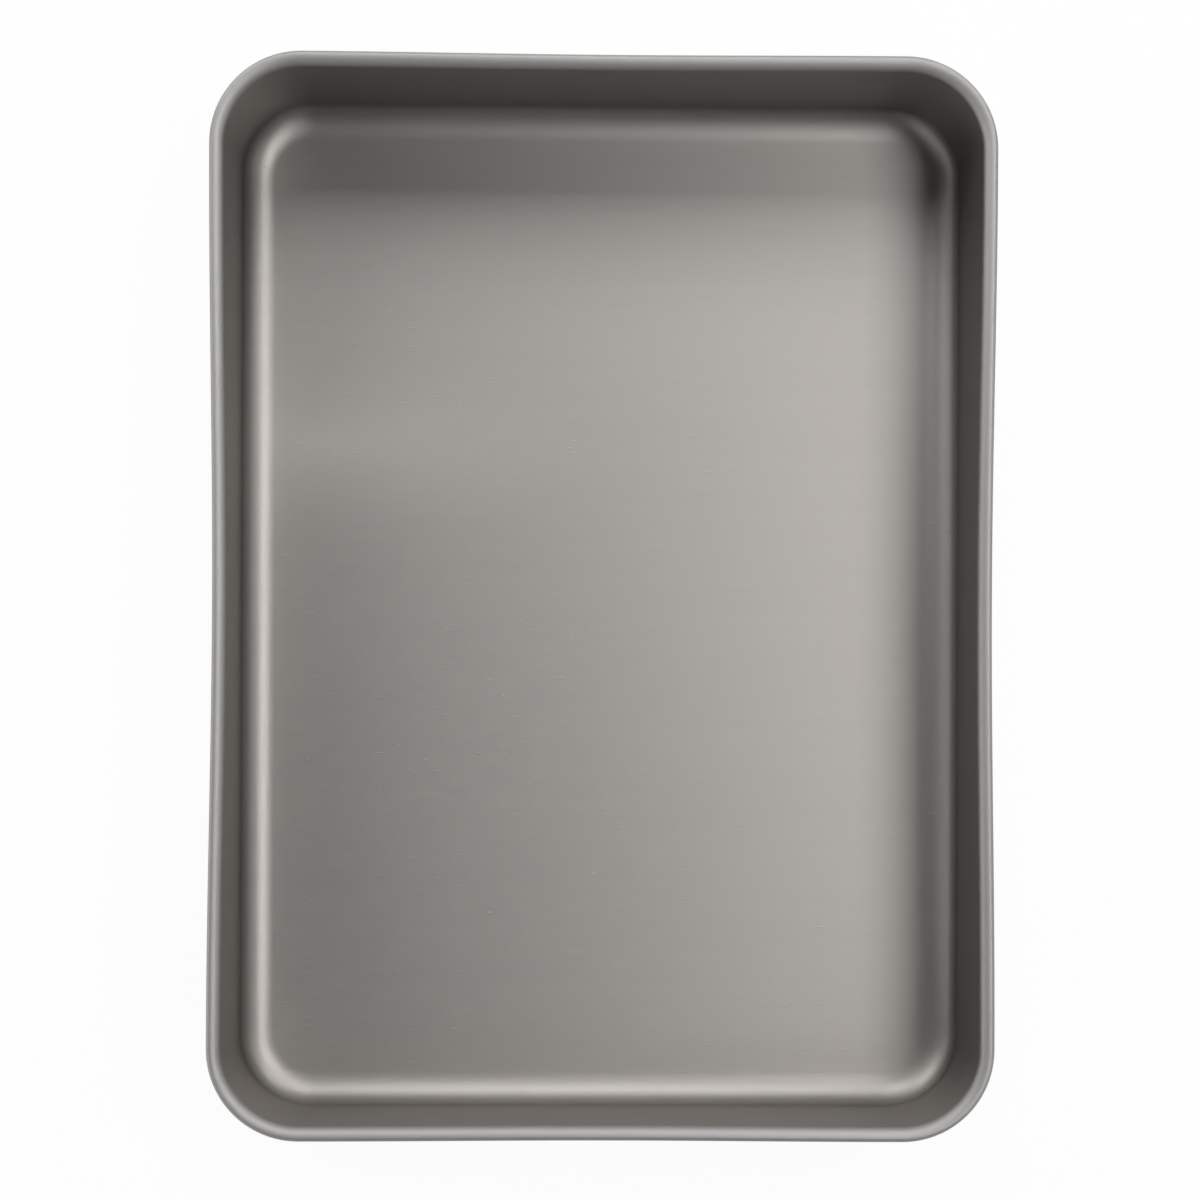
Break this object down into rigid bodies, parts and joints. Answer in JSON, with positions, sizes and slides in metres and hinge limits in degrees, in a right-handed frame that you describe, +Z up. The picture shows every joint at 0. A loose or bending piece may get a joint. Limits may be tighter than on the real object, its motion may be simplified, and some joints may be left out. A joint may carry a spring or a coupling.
{
  "type": "roasting pan",
  "caption": "Deep rectangular roasting pan of anodised aluminium sheet, with rounded corners, a coved floor and a rolled rim over a stiffening wire.",
  "frame": {"origin": "on the surface that the pan stands on, under the middle of its floor", "axes": "+X across the pan, +Y along its long side, +Z up out of its open mouth"},
  "size_m": [0.261, 0.36, 0.07],
  "materials": {
    "anodised_sheet": "brushed and anodised, satin warm grey",
    "drawn_wire": "drawn, satin"
  },
  "bodies": {
    "root": {"pan_shell": "anodised_sheet", "rim_wire": "drawn_wire"}
  },
  "joints": []
}
